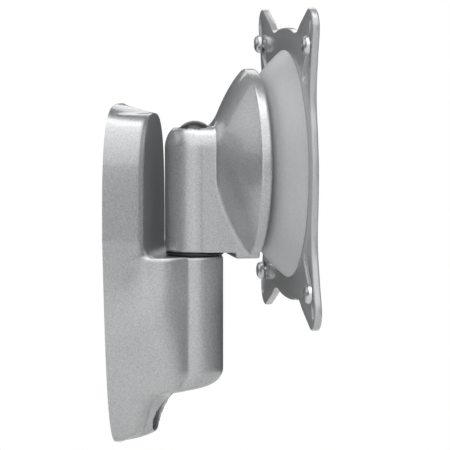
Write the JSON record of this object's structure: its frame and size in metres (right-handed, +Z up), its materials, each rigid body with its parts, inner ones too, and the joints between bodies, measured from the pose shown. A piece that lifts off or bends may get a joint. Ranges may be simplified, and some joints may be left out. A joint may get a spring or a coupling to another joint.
{
  "type": "tv wall mount",
  "caption": "Small die-cast wall mount for a flat screen: a shield-shaped casting with a vertical swivel pivot, a bowl-shaped arm and a domed ball-joint head carrying a slotted square plate.",
  "frame": {"origin": "on the flat back of the wall casting, on its centre line, 72 mm above its lowest point", "axes": "+Z up the wall, +Y into the wall, -Y out into the room, +X to the right for somebody who faces the wall"},
  "size_m": [0.1069, 0.093, 0.1823],
  "materials": {
    "silver_paint": "die-cast, satin silver paint",
    "dome_paint": "pressed steel, satin grey paint",
    "plate_paint": "steel plate, semi-gloss dark grey paint",
    "zinc_plate": "bright zinc plating",
    "spring_steel": "oiled spring steel",
    "black_nylon": "moulded black nylon",
    "cap_plastic": "moulded dark grey plastic",
    "white_acetal": "moulded natural acetal"
  },
  "bodies": {
    "wall": {"wall_casting": "silver_paint", "keyhole_plate": "zinc_plate", "keyhole_screw_left": "zinc_plate", "keyhole_screw_right": "zinc_plate", "pivot_bolt": "zinc_plate", "pivot_cap": "cap_plastic", "thrust_washer": "black_nylon", "pivot_washer": "zinc_plate", "pivot_spring_upper": "spring_steel", "pivot_spring_lower": "spring_steel", "pivot_nut": "zinc_plate"},
    "arm": {"arm_casting": "silver_paint", "upper_bush": "white_acetal", "lower_bush": "white_acetal", "clamp_cup": "zinc_plate", "tension_spring_inner": "spring_steel", "tension_spring_outer": "spring_steel", "tension_bolt": "zinc_plate"},
    "tilt_ring": {"outer_liner": "white_acetal"},
    "pan_ring": {"inner_liner": "white_acetal"},
    "head": {"dome": "dome_paint", "mounting_plate": "plate_paint", "dome_screw_right": "zinc_plate", "dome_screw_bottom": "zinc_plate", "dome_screw_left": "zinc_plate", "dome_screw_top": "zinc_plate", "screw_upper_near": "zinc_plate", "screw_upper_far": "zinc_plate", "screw_lower_near": "zinc_plate", "screw_lower_far": "zinc_plate"}
  },
  "joints": [
    {"name": "swivel", "type": "hinge", "parent": "wall", "child": "arm", "pos_m": [0, -0.0325, 0], "axis": [0, 0, 1], "range_deg": [-81.8, 38.2]},
    {"name": "tilt", "type": "hinge", "parent": "arm", "child": "tilt_ring", "pos_m": [0.02898, -0.10496, 0.046], "axis": [0.9285, 0.3714, 0], "range_deg": [-10, 10]},
    {"name": "pan", "type": "hinge", "parent": "tilt_ring", "child": "pan_ring", "pos_m": [0.02898, -0.10496, 0.046], "axis": [-0.0042, 0.0105, 0.9999], "range_deg": [-10, 10]},
    {"name": "roll", "type": "hinge", "parent": "pan_ring", "child": "head", "pos_m": [0.02898, -0.10496, 0.046], "axis": [0.3713, -0.9284, 0.0113], "continuous": true}
  ]
}
